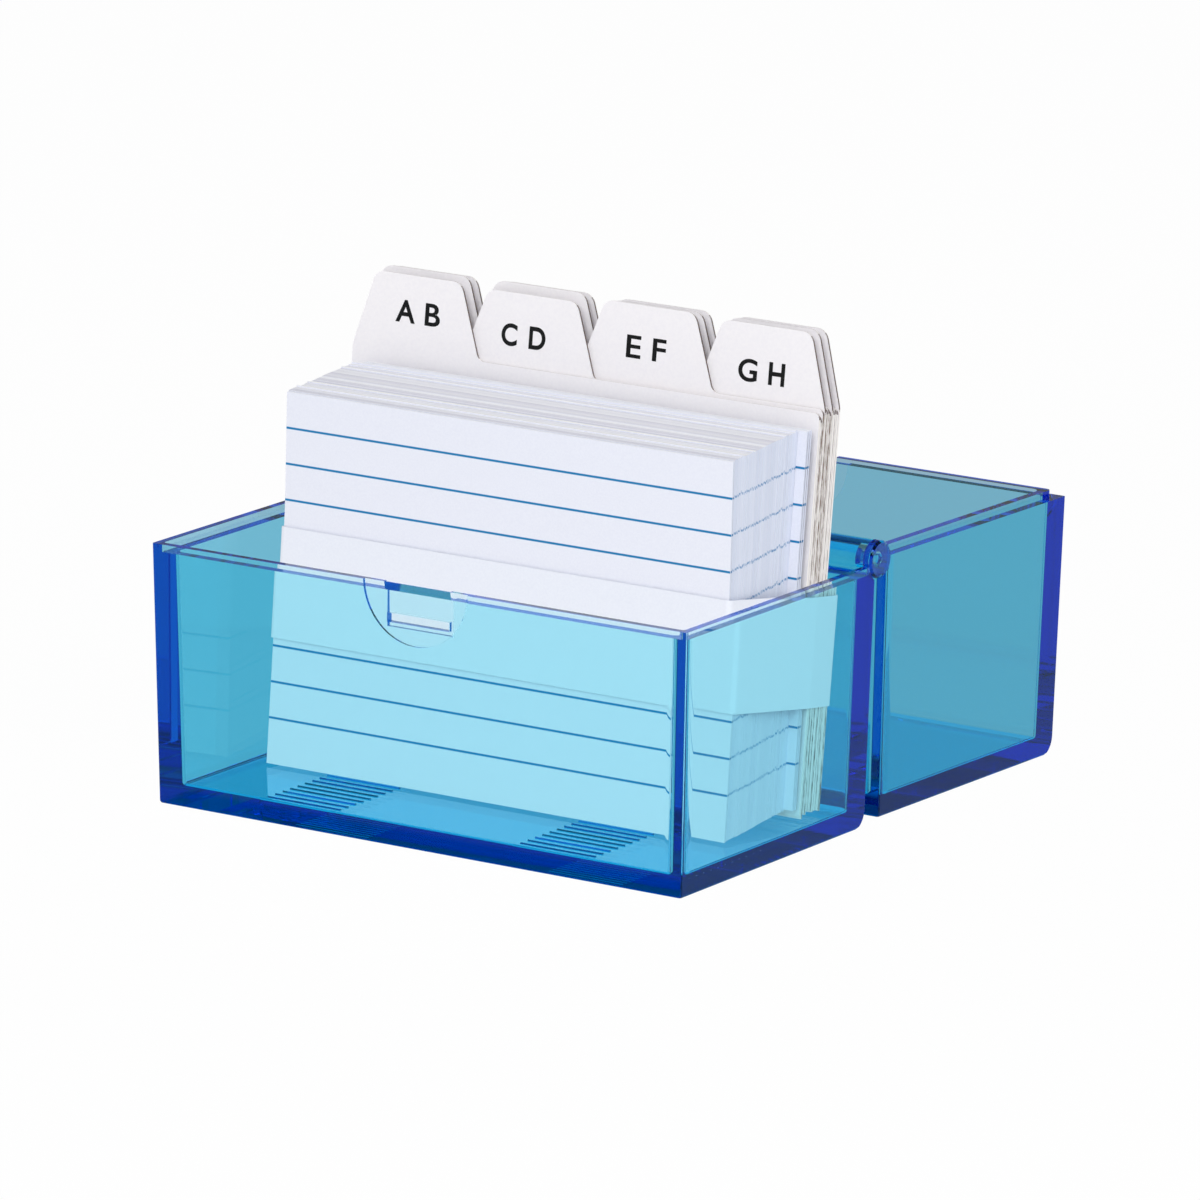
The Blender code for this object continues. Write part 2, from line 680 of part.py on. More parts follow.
def make_pack():
    pivot = bpy.data.objects.new("pack_pivot", None)
    bpy.context.scene.collection.objects.link(pivot)
    pivot.location = point(0, PIVOT_Y, STAND_Z)
    bpy.context.view_layer.update()
    pieces = []
    left = CARD_SHIFT - CARD_WIDE / 2
    right = CARD_SHIFT + CARD_WIDE / 2
    foot = PIVOT_Y
    front = card_line(foot, STAND_Z, STACK_LOW_SHARE, FRONT_HIGH_SHARE)
    back = [(y + CARD_THICK, z) for y, z in front]
    pieces.append(make_block("front_card", left, right, front, back, CARD_WHITE))
    foot += FRONT_DEEP
    for i in range(BUNDLE_COUNT):
        lines = []
        for share, y in ((i / BUNDLE_COUNT, foot), ((i + 1) / BUNDLE_COUNT, foot + BUNDLE_THICK)):
            high = FRONT_HIGH_SHARE + (STACK_HIGH_SHARE - FRONT_HIGH_SHARE) * share
            lines.append(card_line(y, STAND_Z + BUNDLE_RISE * share, STACK_LOW_SHARE, high))
        pieces.append(make_block("card_bundle_%d" % (i + 1), left, right, *lines, CARD_WHITE))
        foot += BUNDLE_THICK + SHEET_GAP
    left += LOOSE_SHIFT
    right += LOOSE_SHIFT
    for i, (low, high) in enumerate(LOOSE_SHARES):
        front = card_line(foot, STAND_Z + LOOSE_RISE, low, high)
        back = [(y + CARD_THICK, z) for y, z in front]
        pieces.append(make_block("loose_card_%d" % (i + 1), left, right, front, back, CARD_WHITE))
        foot += LOOSE_PITCH
    foot += DIVIDER_GAP
    for i, (letters, rise) in enumerate(zip(LETTERS, DIVIDER_RISES)):
        pieces.append(make_divider("divider_" + letters, i % TABS_ACROSS, foot, rise))
        last = foot
        foot += DIVIDER_PITCH
    back = last + DIVIDER_THICK / math.cos(math.radians(DIVIDER_LEAN))
    pieces.append(make_band(PIVOT_Y, back))
    for piece in pieces:
        place_in_pack(piece, pivot)


def main():
    clear_scene()
    make_base()
    make_lid()
    make_pack()


main()
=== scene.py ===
"""The looks of the hinged flip-top index card box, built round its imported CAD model."""

import math
import random

import bmesh
import bpy
from mathutils import Matrix, Vector


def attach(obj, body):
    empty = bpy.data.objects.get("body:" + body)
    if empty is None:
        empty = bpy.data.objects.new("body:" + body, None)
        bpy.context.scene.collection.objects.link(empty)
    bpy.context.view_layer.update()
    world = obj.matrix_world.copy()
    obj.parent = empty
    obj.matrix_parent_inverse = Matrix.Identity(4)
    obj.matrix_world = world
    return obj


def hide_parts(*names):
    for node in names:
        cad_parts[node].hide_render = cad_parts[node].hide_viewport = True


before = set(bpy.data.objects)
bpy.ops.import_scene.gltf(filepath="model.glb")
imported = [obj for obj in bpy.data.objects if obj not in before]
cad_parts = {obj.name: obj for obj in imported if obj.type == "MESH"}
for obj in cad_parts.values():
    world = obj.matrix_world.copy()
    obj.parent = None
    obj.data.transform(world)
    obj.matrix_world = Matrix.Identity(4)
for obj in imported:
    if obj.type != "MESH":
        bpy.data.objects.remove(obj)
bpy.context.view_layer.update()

MM = 0.001

# The moulded shells: folds below this angle are smooth, and points closer than WELD millimetres join
SHARP_DEGREES = 28
WELD = 0.001

# Clear blue polystyrene: how much of red, green and blue light one metre takes out, and its skin,
# with a slightly uneven gloss and the faint waves of a moulding
PLASTIC_SIGMA = (305.0, 39.0, 4.5)
PLASTIC_IOR = 1.59
PLASTIC_SHEEN = (0.3, 0.85, 1.0, 1.0)
SKIN_NOISE = 900.0
SKIN_LEVELS = (0.35, 0.75)
SKIN_ROUGHNESS = (0.004, 0.03)
WAVE_NOISE = 130.0
WAVE_STRENGTH = 0.05
WAVE_TALL = 0.05

# Paper and board: the relief of the surface in millimetres, and the levels between which noise mixes
# the two tones of the fibres
RELIEF_STRENGTH = 0.25
RELIEF_TALL = 0.03
RELIEF_DETAIL = 3.0
PAPER_SPECULAR = 0.25
FIBRE_LEVELS = (0.3, 0.7)

# The ruled cards: colours as a screen shows them, roughness, and noise scales per metre
CARD_TONES = ((237, 239, 249), (234, 236, 247))
# The cut edges carry painted light and shade: a lit and a shaded tone, the sides darker and bluer than the
# tops
CARD_SIDE_PAINTED_LIT = (224, 230, 245)
CARD_SIDE_PAINTED_SHADE = (195, 204, 227)
CARD_TOP_PAINTED_LIT = (255, 255, 255)
CARD_TOP_PAINTED_SHADE = (218, 217, 228)
RULE_INK = (0, 124, 182)
CARD_ROUGHNESS = 0.7
CARD_FIBRES = 3500.0
CARD_GRAIN = 4000.0
BLOT_NOISE = 2600.0
BLOT_LEVELS = (0.42, 0.6, 0.35, 0.85)

# The board of the dividers: a face, layers worn to brown lines on the cut edges, slanting flanks of the
# tabs dark with painted shade over the brown, and the cut top
BOARD_TONES = ((249, 246, 248), (246, 243, 246))
BOARD_LAYER = (250, 246, 242)
BOARD_WORN = (118, 96, 78)
BOARD_FLANK_PAINTED_SHADE = (108, 95, 92)
BOARD_TOP = (230, 225, 224)
BOARD_ROUGHNESS = 0.75
BOARD_FIBRES = 2200.0
BOARD_FIBRE_DETAIL = 4.0
BOARD_GRAIN = 1800.0
EDGE_LEVELS = (0.6, 0.85)
LAYER_NOISE = 1900.0
LAYER_LEVELS = (0.46, 0.56)
WEAR_NOISE = 2400.0
WEAR_STRETCH = (1.0, 1.0, 0.25)
WEAR_LEVELS = (0.36, 0.6, 0.25, 1.0)
FLANK_LOW = 0.1
FLANK_HIGH = 0.7
FLANK_SOFT = 0.05
TOP_LEVELS = (0.7, 0.9)

# The paper band and the printing ink
BAND_TONES = ((238, 241, 250), (235, 238, 248))
BAND_ROUGHNESS = 0.6
BAND_FIBRES = 3000.0
BAND_GRAIN = 3500.0
INK_TONES = ((14, 13, 13), (30, 28, 27))
INK_ROUGHNESS = 0.55
INK_COVER = 3000.0
INK_LEVELS = (0.4, 0.75)
INK_GRAIN = 2500.0

# The camera, fitted to the photograph's frame of 1200 by 1200 pixels
PHOTO_SIDE = 1200
FOCAL_PIXELS = 10374.7
CENTRE_PIXELS = (603.52, 599.45)
SENSOR_MM = 36.0
CAMERA_PLACE = (0.77029, -1.14020, 0.36761)
CAMERA_TURN_DEGREES = (76.2357, -0.5457, 33.6578)
CLIP_START = 0.1
CLIP_END = 50.0

# The softboxes: name, place, side and watts
LAMPS = (
    ("key_softbox", (0.4, -1.15, 0.75), 0.6, 5.5),
    ("fill_softbox", (1.1, -0.15, 0.6), 0.5, 2.5),
)
LAMP_TARGET = (0, 0, 0.03)
LIGHT_BOUNCES = 32

# The studio: how strongly the world lights matt surfaces away from the key side and on it, how bright
# the plastic mirrors it at the horizon and overhead, and the floor with its glow, its half side in
# metres and how many millimetres it lies low
KEY_SIDE = (-0.35, -0.75, 0.55)
WORLD_TINT = (0.98, 0.99, 1.0, 1.0)
WORLD_LOW = 0.56
WORLD_HIGH = 0.68
MIRROR_HORIZON = 0.45
MIRROR_OVERHEAD = 0.12
MIRROR_RISE = 0.4
FLOOR_GLOW = 0.95
FLOOR_WHITE = (0.96, 0.96, 0.96, 1.0)
FLOOR_HALF = 6.0
FLOOR_DROP = 0.05

# The table as the plastic shows it, all painted light and shade: painted grey shade that grows towards the
# back right, and painted blue shadow where the plastic throws its light, under the box and just in front
# of it
TABLE_NEAR_PAINTED_BLUE_SHADE = (0.36, 0.52, 0.63, 1.0)
TABLE_FAR_PAINTED_SHADE = (0.42, 0.47, 0.55, 1.0)
TABLE_UNDER_PAINTED_BLUE_SHADOW = (0.0, 0.43, 0.74, 1.0)
FALL_START = 0.0
FALL_END = 0.10
UNDER_HALF_WIDE = 0.0430
UNDER_FRONT = -0.0300
UNDER_BACK = 0.0730
UNDER_SOFT = 0.0015

# The ruled cards, in millimetres: the ruling, and the play of the thin sheets that make up a bundle
CARD_TALL = 52.0
RULE_PITCH = 5.06
RULE_COUNT = 9
RULE_WIDE = 0.32
RULE_CORE = 0.3
RULE_REACH = 0.7
BUNDLES = 5
LOOSE_CARDS = 3
SHEETS_IN_BUNDLE = 16
SHEET_SHARE = 0.92
BUNDLE_GAP = 0.12
SHEET_SIDE_PLAY = 0.03
SHEET_RISE_PLAY = 0.04
GROUP_RISE = 0.14
GROUP_LEAST = 2
GROUP_MOST = 6
RAISED_SHARE = 0.08
RAISED_LEAST = 0.12
RAISED_MOST = 0.3
# How far each sheet's painted edge shade strays from its group's, drawn at random per group, and how much
# of it the side edges take
PAINTED_SHADE_PLAY = 0.25
SIDE_PAINTED_SHADE_SHARE = 0.3
RULE_PLAY = 0.17
DRAW_SEED = 11

# In a card's UV map, U at or below this marks a cut edge, and V at this marks the top or the foot
EDGE_U = -2.0

# The dividers' lean in degrees, and how much the lines on their cut edges are drawn out
BOARD_LEAN = 6.61
LINE_STRETCH = 0.006

# The letters on the tabs, in millimetres: the middles of both from the tab's middle, and the baseline
LETTER_TALL = 3.15
LETTER_RAISE = 0.02
LETTER_GAP = 0.004
LETTER_FONT_TALL = 0.729
LETTER_BOLD = 0.022
LETTER_WIDE_SHARES = {
    "A": 1.03, "B": 1.14, "C": 0.93, "D": 0.93, "E": 1.26, "F": 1.24, "G": 1.08, "H": 0.96,
}
LETTER_PLACES = (
    ("ab", -1.56, 2.98, 59.0),
    ("cd", -3.38, 1.26, 58.25),
    ("ef", -2.18, 2.0, 58.25),
    ("gh", -2.78, 1.9, 57.7),
    ("ij", -1.6, 2.8, 58.0),
    ("kl", -3.0, 1.4, 57.7),
    ("mn", -2.6, 2.0, 58.6),
    ("op", -2.8, 1.8, 58.0),
    ("qr", -1.3, 3.2, 58.2),
    ("st", -2.8, 1.6, 58.5),
    ("uv", -2.5, 1.9, 58.15),
    ("wz", -2.7, 2.1, 58.6),
)
TABS_ACROSS = 4
TAB_SPACING = 19.0
TAB_MIDDLE = -0.65
END_REACH = 0.5


def material(name):
    """An empty node material with its output."""
    made = bpy.data.materials.new(name)
    made.use_nodes = True
    made.node_tree.nodes.clear()
    output = made.node_tree.nodes.new("ShaderNodeOutputMaterial")
    return made, made.node_tree, output


def math_node(tree, operation, first, second=None, clamp=False):
    node = tree.nodes.new("ShaderNodeMath")
    node.operation = operation
    node.use_clamp = clamp
    for socket, value in zip(node.inputs, (first, second)):
        if value is None:
            continue
        if isinstance(value, (int, float)):
            socket.default_value = value
        else:
            tree.links.new(value, socket)
    return node.outputs[0]


def ramp(tree, source, low, high, to_low=0.0, to_high=1.0):
    """A smooth step from one value to another as the source goes from low to high."""
    node = tree.nodes.new("ShaderNodeMapRange")
    node.interpolation_type = "SMOOTHSTEP"
    node.inputs["From Min"].default_value = low
    node.inputs["From Max"].default_value = high
    node.inputs["To Min"].default_value = to_low
    node.inputs["To Max"].default_value = to_high
    tree.links.new(source, node.inputs["Value"])
    return node.outputs["Result"]


def within(tree, value, low, high, soft):
    """One where the value is between low and high, with soft ends."""
    above = ramp(tree, value, low - soft, low + soft)
    below = ramp(tree, value, high - soft, high + soft, 1.0, 0.0)
    return math_node(tree, "MULTIPLY", above, below)


def mix_colour(tree, share, first, second):
    node = tree.nodes.new("ShaderNodeMix")
    node.data_type = "RGBA"
    for socket, value in ((node.inputs[0], share), (node.inputs[6], first), (node.inputs[7], second)):
        if isinstance(value, (int, float, tuple)):
            socket.default_value = value
        else:
            tree.links.new(value, socket)
    return node.outputs[2]


def noise(tree, coordinates, scale, detail=2.0, stretch=None):
    node = tree.nodes.new("ShaderNodeTexNoise")
    node.inputs["Scale"].default_value = scale
    node.inputs["Detail"].default_value = detail
    if stretch is not None:
        mapping = tree.nodes.new("ShaderNodeMapping")
        mapping.inputs["Scale"].default_value = stretch
        tree.links.new(coordinates, mapping.inputs["Vector"])
        coordinates = mapping.outputs["Vector"]
    tree.links.new(coordinates, node.inputs["Vector"])
    return node.outputs[0]


def bump(tree, height, strength, distance):
    node = tree.nodes.new("ShaderNodeBump")
    node.inputs["Strength"].default_value = strength
    node.inputs["Distance"].default_value = distance
    tree.links.new(height, node.inputs["Height"])
    return node.outputs["Normal"]


def srgb(shown):
    """A colour given as it shows on a screen, from 0 to 255, as the shader's linear colour."""
    linear = []
    for value in shown:
        share = value / 255
        linear.append(share / 12.92 if share <= 0.04045 else ((share + 0.055) / 1.055) ** 2.4)
    return (*linear, 1.0)


def fibre_colour(tree, place, tones, scale, detail=3.0, levels=FIBRE_LEVELS):
    """Two close tones, mixed by fine noise."""
    share = ramp(tree, noise(tree, place, scale, detail), *levels)
    return mix_colour(tree, share, srgb(tones[0]), srgb(tones[1]))


def plastic_material(name):
    """Clear blue polystyrene: smooth glassy skin, and colour from the depth that light crosses."""
    made, tree, output = material(name)
    place = tree.nodes.new("ShaderNodeTexCoord").outputs["Object"]
    shader = tree.nodes.new("ShaderNodeBsdfPrincipled")
    shader.inputs["Base Color"].default_value = (1.0, 1.0, 1.0, 1.0)
    shader.inputs["Transmission Weight"].default_value = 1.0
    shader.inputs["IOR"].default_value = PLASTIC_IOR
    shader.inputs["Specular Tint"].default_value = PLASTIC_SHEEN
    skin = ramp(tree, noise(tree, place, SKIN_NOISE), *SKIN_LEVELS, *SKIN_ROUGHNESS)
    tree.links.new(skin, shader.inputs["Roughness"])
    waves = bump(tree, noise(tree, place, WAVE_NOISE, 1.0), WAVE_STRENGTH, WAVE_TALL * MM)
    tree.links.new(waves, shader.inputs["Normal"])
    inside = tree.nodes.new("ShaderNodeVolumeAbsorption")
    strongest = max(PLASTIC_SIGMA)
    inside.inputs["Color"].default_value = (*(1.0 - sigma / strongest for sigma in PLASTIC_SIGMA), 1.0)
    inside.inputs["Density"].default_value = strongest
    tree.links.new(shader.outputs[0], output.inputs["Surface"])
    tree.links.new(inside.outputs[0], output.inputs["Volume"])
    return made


def paper_shader(tree, output, colour, roughness, place, grain):
    shader = tree.nodes.new("ShaderNodeBsdfPrincipled")
    shader.inputs["Roughness"].default_value = roughness
    shader.inputs["Specular IOR Level"].default_value = PAPER_SPECULAR
    tree.links.new(colour, shader.inputs["Base Color"])
    relief = bump(tree, noise(tree, place, grain, RELIEF_DETAIL), RELIEF_STRENGTH, RELIEF_TALL * MM)
    tree.links.new(relief, shader.inputs["Normal"])
    tree.links.new(shader.outputs[0], output.inputs["Surface"])


def card_material():
    """White card ruled in blue.

    V is millimetres up the card. On cut edges U is below zero, and the painted shade on them deepens as it
    falls.
    """
    made, tree, output = material("ruled_card")
    uv = tree.nodes.new("ShaderNodeUVMap")
    uv.uv_map = "card"
    split = tree.nodes.new("ShaderNodeSeparateXYZ")
    tree.links.new(uv.outputs[0], split.inputs[0])
    place = tree.nodes.new("ShaderNodeTexCoord").outputs["Object"]
    across, up = split.outputs["X"], split.outputs["Y"]
    rows = math_node(tree, "DIVIDE", math_node(tree, "SUBTRACT", CARD_TALL, up), RULE_PITCH)
    near = math_node(tree, "ROUND", rows)
    away = math_node(tree, "ABSOLUTE", math_node(tree, "SUBTRACT", rows, near))
    wide = RULE_WIDE / RULE_PITCH
    line = ramp(tree, away, wide * RULE_CORE, wide * RULE_REACH, 1.0, 0.0)
    ruled = math_node(tree, "GREATER_THAN", near, 0.5)
    ruled = math_node(tree, "MULTIPLY", ruled, math_node(tree, "LESS_THAN", near, RULE_COUNT + 0.5))
    edge = math_node(tree, "LESS_THAN", across, EDGE_U / 2)
    blots = ramp(tree, noise(tree, place, BLOT_NOISE), *BLOT_LEVELS)
    inked = math_node(tree, "SUBTRACT", 1.0, math_node(tree, "MULTIPLY", edge, blots))
    ink = math_node(tree, "MULTIPLY", line, math_node(tree, "MULTIPLY", ruled, inked))
    face_colour = fibre_colour(tree, place, CARD_TONES, CARD_FIBRES)
    # The cut edges' painted shade, mixed from the lit to the shaded tone, with other tones on the tops
    # than on the sides
    painted_edge_shade = math_node(tree, "SUBTRACT", EDGE_U, across, clamp=True)
    top = math_node(tree, "LESS_THAN", up, EDGE_U / 2)
    painted_shade = mix_colour(tree, top, srgb(CARD_SIDE_PAINTED_SHADE), srgb(CARD_TOP_PAINTED_SHADE))
    light = mix_colour(tree, top, srgb(CARD_SIDE_PAINTED_LIT), srgb(CARD_TOP_PAINTED_LIT))
    painted_edge_colour = mix_colour(tree, painted_edge_shade, light, painted_shade)
    paper = mix_colour(tree, edge, face_colour, painted_edge_colour)
    colour = mix_colour(tree, ink, paper, srgb(RULE_INK))
    paper_shader(tree, output, colour, CARD_ROUGHNESS, place, CARD_GRAIN)
    return made


def board_material():
    """Warm white index board, with fine grey and brown lines along its cut edges."""
    made, tree, output = material("divider_board")
    coordinates = tree.nodes.new("ShaderNodeTexCoord")
    place = coordinates.outputs["Object"]
    normal = tree.nodes.new("ShaderNodeSeparateXYZ")
    tree.links.new(coordinates.outputs["Normal"], normal.inputs[0])
    edge = ramp(tree, math_node(tree, "ABSOLUTE", normal.outputs["Y"]), *EDGE_LEVELS, 1.0, 0.0)
    face_colour = fibre_colour(tree, place, BOARD_TONES, BOARD_FIBRES, BOARD_FIBRE_DETAIL)
    split = tree.nodes.new("ShaderNodeSeparateXYZ")
    tree.links.new(place, split.inputs[0])
    lean = math_node(tree, "MULTIPLY", split.outputs["Z"], -math.tan(math.radians(BOARD_LEAN)))
    along = tree.nodes.new("ShaderNodeCombineXYZ")
    tree.links.new(math_node(tree, "ADD", split.outputs["Y"], lean), along.inputs["X"])
    tree.links.new(math_node(tree, "MULTIPLY", split.outputs["Z"], LINE_STRETCH), along.inputs["Y"])
    lines = ramp(tree, noise(tree, along.outputs[0], LAYER_NOISE, 3.0), *LAYER_LEVELS)
    broken = ramp(tree, noise(tree, place, WEAR_NOISE, 3.0, WEAR_STRETCH), *WEAR_LEVELS)
    worn = math_node(tree, "MULTIPLY", lines, broken)
    layers = mix_colour(tree, worn, srgb(BOARD_LAYER), srgb(BOARD_WORN))
    # The slanting flanks of the tabs take painted shade, which stands in for the shade in the gaps between
    # the boards
    slope = math_node(tree, "ABSOLUTE", normal.outputs["X"])
    slant = within(tree, normal.outputs["Z"], FLANK_LOW, FLANK_HIGH, FLANK_SOFT)
    painted_flank_shade = math_node(tree, "MULTIPLY", slant, slope)
    layers = mix_colour(tree, painted_flank_shade, layers, srgb(BOARD_FLANK_PAINTED_SHADE))
    layers = mix_colour(tree, ramp(tree, normal.outputs["Z"], *TOP_LEVELS), layers, srgb(BOARD_TOP))
    colour = mix_colour(tree, edge, face_colour, layers)
    paper_shader(tree, output, colour, BOARD_ROUGHNESS, place, BOARD_GRAIN)
    return made


def band_material():
    """Plain white paper, a little bluer than the cards."""
    made, tree, output = material("band_paper")
    place = tree.nodes.new("ShaderNodeTexCoord").outputs["Object"]
    colour = fibre_colour(tree, place, BAND_TONES, BAND_FIBRES)
    paper_shader(tree, output, colour, BAND_ROUGHNESS, place, BAND_GRAIN)
    return made


def ink_material():
    """Black printing ink with a slightly uneven cover."""
    made, tree, output = material("letter_ink")
    place = tree.nodes.new("ShaderNodeTexCoord").outputs["Object"]
    colour = fibre_colour(tree, place, INK_TONES, INK_COVER, levels=INK_LEVELS)
    paper_shader(tree, output, colour, INK_ROUGHNESS, place, INK_GRAIN)
    return made


def mesh_object(name, bm, surface):
    mesh = bpy.data.meshes.new(name)
    bm.to_mesh(mesh)
    bm.free()
    mesh.materials.append(surface)
    obj = bpy.data.objects.new(name, mesh)
    bpy.context.scene.collection.objects.link(obj)
    return obj


def shade_smooth(bm):
    """Smooth shading, with crisp folds where two faces meet at more than SHARP_DEGREES."""
    for face in bm.faces:
        face.smooth = True
    for edge in bm.edges:
        edge.smooth = edge.calc_face_angle(0.0) < math.radians(SHARP_DEGREES)


def make_shell(name, node, body, surface):
    """One moulded shell with its CAD form, with smooth fillets and crisp edges."""
    bm = bmesh.new()
    bm.from_mesh(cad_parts[node].data)
    bmesh.ops.remove_doubles(bm, verts=bm.verts[:], dist=WELD * MM)
    shade_smooth(bm)
    obj = mesh_object(name, bm, surface)
    weighted = obj.modifiers.new("even_shading", "WEIGHTED_NORMAL")
    weighted.keep_sharp = True
    obj.visible_diffuse = False
    obj.visible_shadow = False
    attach(obj, body)
    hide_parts(node)
    return obj


def section(node):
    """A card solid's left and right sides, and its front and back faces.

    Each face is a line of (y, z) points from the foot up.
    """
    points = [v.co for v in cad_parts[node].data.vertices]
    sides = (min(p.x for p in points), max(p.x for p in points))
    seen = sorted({(round(p.y, 6), round(p.z, 6)) for p in points}, key=lambda p: p[1])
    levels = [sorted(seen[i : i + 2]) for i in range(0, len(seen), 2)]
    return sides, [level[0] for level in levels], [level[1] for level in levels]


def heights(line):
    """How far up the card each point of a line is, in millimetres."""
    up = [0.0]
    for first, second in zip(line, line[1:]):
        up.append(up[-1] + math.dist(first, second) / MM)
    return up


def between(first, second, share):
    return [tuple(a + (b - a) * share for a, b in zip(p, q)) for p, q in zip(first, second)]


def add_sheet(bm, uv, sides, front, back, shift, rise, rule_shift, painted_edge_shade):
    """One thin card as a closed strip between two lines of the side view."""
    wide = (sides[1] - sides[0]) / MM
    ups = [up + rule_shift for up in heights(front)]
    rows = []
    for line in (front, back):
        for x in sides:
            rows.append([bm.verts.new(Vector((x + shift, y, z + rise))) for y, z in line])
    front_left, front_right, back_left, back_right = rows
    # The sides carry less of the sheet's painted shade than the top and the foot
    edge = EDGE_U - SIDE_PAINTED_SHADE_SHARE * painted_edge_shade
    strips = (
        (front_left, front_right, 0.0, wide),
        (front_right, back_right, edge, edge),
        (back_right, back_left, edge, edge),
        (back_left, front_left, edge, edge),
    )
    for first, second, u_first, u_second in strips:
        for i in range(len(front) - 1):
            face = bm.faces.new((first[i], second[i], second[i + 1], first[i + 1]))
            places = ((u_first, ups[i]), (u_second, ups[i]), (u_second, ups[i + 1]), (u_first, ups[i + 1]))
            for loop, place in zip(face.loops, places):
                loop[uv].uv = place
    for i in (0, -1):
        face = bm.faces.new((front_left[i], front_right[i], back_right[i], back_left[i]))
        for loop in face.loops:
            loop[uv].uv = (EDGE_U - painted_edge_shade, EDGE_U)


def sheet_plays(count, draws):
    """Each sheet's play sideways, upwards and of its ruling, and how much painted shade its cut edge
    carries.
    """
    plays = []
    left = 0
    for _ in range(count):
        if left == 0:
            left = draws.randint(GROUP_LEAST, GROUP_MOST)
            painted_edge_shade, lift = draws.random(), draws.uniform(0.0, GROUP_RISE)
        left -= 1
        side = draws.uniform(-SHEET_SIDE_PLAY, SHEET_SIDE_PLAY)
        rise = lift + draws.uniform(0.0, SHEET_RISE_PLAY)
        rule = draws.uniform(-RULE_PLAY, RULE_PLAY)
        sheet_painted_shade = min(1.0, max(0.0, painted_edge_shade + draws.uniform(-PAINTED_SHADE_PLAY, PAINTED_SHADE_PLAY)))
        # A raised sheet gets no painted shade: its cut edges are painted lightest, a painted highlight
        if draws.random() < RAISED_SHARE:
            rise, sheet_painted_shade = lift + draws.uniform(RAISED_LEAST, RAISED_MOST), 0.0
        plays.append((side * MM, rise * MM, rule, sheet_painted_shade))
    return plays


def make_cards(name, node, count, surface, draws):
    """The cards of one CAD solid as separate thin sheets in one piece, some of them a little higher."""
    sides, front, back = section(node)
    solid, plays = 1.0, [(0.0, 0.0, 0.0, 0.0)]
    if count > 1:
        back = [(y + BUNDLE_GAP * MM, z) for y, z in back]
        solid, plays = SHEET_SHARE, sheet_plays(count, draws)
    bm = bmesh.new()
    uv = bm.loops.layers.uv.new("card")
    for i, play in enumerate(plays):
        near = between(front, back, i / count)
        far = between(front, back, (i + solid) / count)
        add_sheet(bm, uv, sides, near, far, *play)
    bmesh.ops.recalc_face_normals(bm, faces=bm.faces[:])
    shade_smooth(bm)
    obj = mesh_object(name, bm, surface)
    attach(obj, "card_pack")
    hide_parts(node)
    return obj


def letter_mesh(letter):
    """One capital as a flat mesh in metres, its foot at zero and its middle on the Y axis."""
    curve = bpy.data.curves.new("letter", "FONT")
    curve.body = letter
    curve.align_x = "CENTER"
    wide = LETTER_WIDE_SHARES.get(letter, 1.0)
    curve.offset = LETTER_BOLD / wide**2
    curve.extrude = LETTER_RAISE / LETTER_TALL * LETTER_FONT_TALL / 2
    obj = bpy.data.objects.new("letter", curve)
    bpy.context.scene.collection.objects.link(obj)
    graph = bpy.context.evaluated_depsgraph_get()
    mesh = bpy.data.meshes.new_from_object(obj.evaluated_get(graph))
    bpy.data.objects.remove(obj)
    low = min(v.co.y for v in mesh.vertices)
    high = max(v.co.y for v in mesh.vertices)
    left = min(v.co.x for v in mesh.vertices)
    right = max(v.co.x for v in mesh.vertices)
    back = min(v.co.z for v in mesh.vertices)
    scale = LETTER_TALL * MM / (high - low)
    mesh.transform(Matrix.Translation((-(left + right) / 2, -low, -back)))
    mesh.transform(Matrix.Diagonal((scale * wide, scale, scale, 1.0)))
    return mesh


def make_letters(pair, middles, baseline, surface):
    """The printed index letters on one divider's tab, just proud of its front face."""
    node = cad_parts["divider_" + pair]
    points = [v.co for v in node.data.vertices]
    foot = min(points, key=lambda p: (round(p.z, 5), p.y))
    feet = [p for p in points if p.z < foot.z + END_REACH * MM]
    front_foot = min(feet, key=lambda p: p.y)
    tops = [p for p in points if p.z > max(q.z for q in points) - END_REACH * MM]
    front_top = min(tops, key=lambda p: p.y)
    run = Vector((0, front_top.y - front_foot.y, front_top.z - front_foot.z))
    up = run.normalized()
    out = Vector((0, -up.z, up.y))
    place = [p[0] for p in LETTER_PLACES].index(pair) % TABS_ACROSS
    tab_middle = TAB_MIDDLE + (place - (TABS_ACROSS - 1) / 2) * TAB_SPACING
    bm = bmesh.new()
    for letter, middle in zip(pair.upper(), middles):
        mesh = letter_mesh(letter)
        start = Vector(((tab_middle + middle) * MM, front_foot.y, front_foot.z))
        start += up * baseline * MM + out * LETTER_GAP * MM
        turn = Matrix((Vector((1, 0, 0)), up, out)).transposed().to_4x4()
        mesh.transform(Matrix.Translation(start) @ turn)
        bm.from_mesh(mesh)
        bpy.data.meshes.remove(mesh)
    obj = mesh_object("letters_" + pair, bm, surface)
    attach(obj, "card_pack")
    return obj


def make_camera():
    data = bpy.data.cameras.new("camera")
    data.sensor_width = SENSOR_MM
    data.lens = FOCAL_PIXELS / PHOTO_SIDE * SENSOR_MM
    data.shift_x = (PHOTO_SIDE / 2 - CENTRE_PIXELS[0]) / PHOTO_SIDE
    data.shift_y = (CENTRE_PIXELS[1] - PHOTO_SIDE / 2) / PHOTO_SIDE
    data.clip_start = CLIP_START
    data.clip_end = CLIP_END
    camera = bpy.data.objects.new("camera", data)
    camera.location = CAMERA_PLACE
    camera.rotation_euler = [math.radians(turn) for turn in CAMERA_TURN_DEGREES]
    bpy.context.scene.collection.objects.link(camera)
    bpy.context.scene.camera = camera


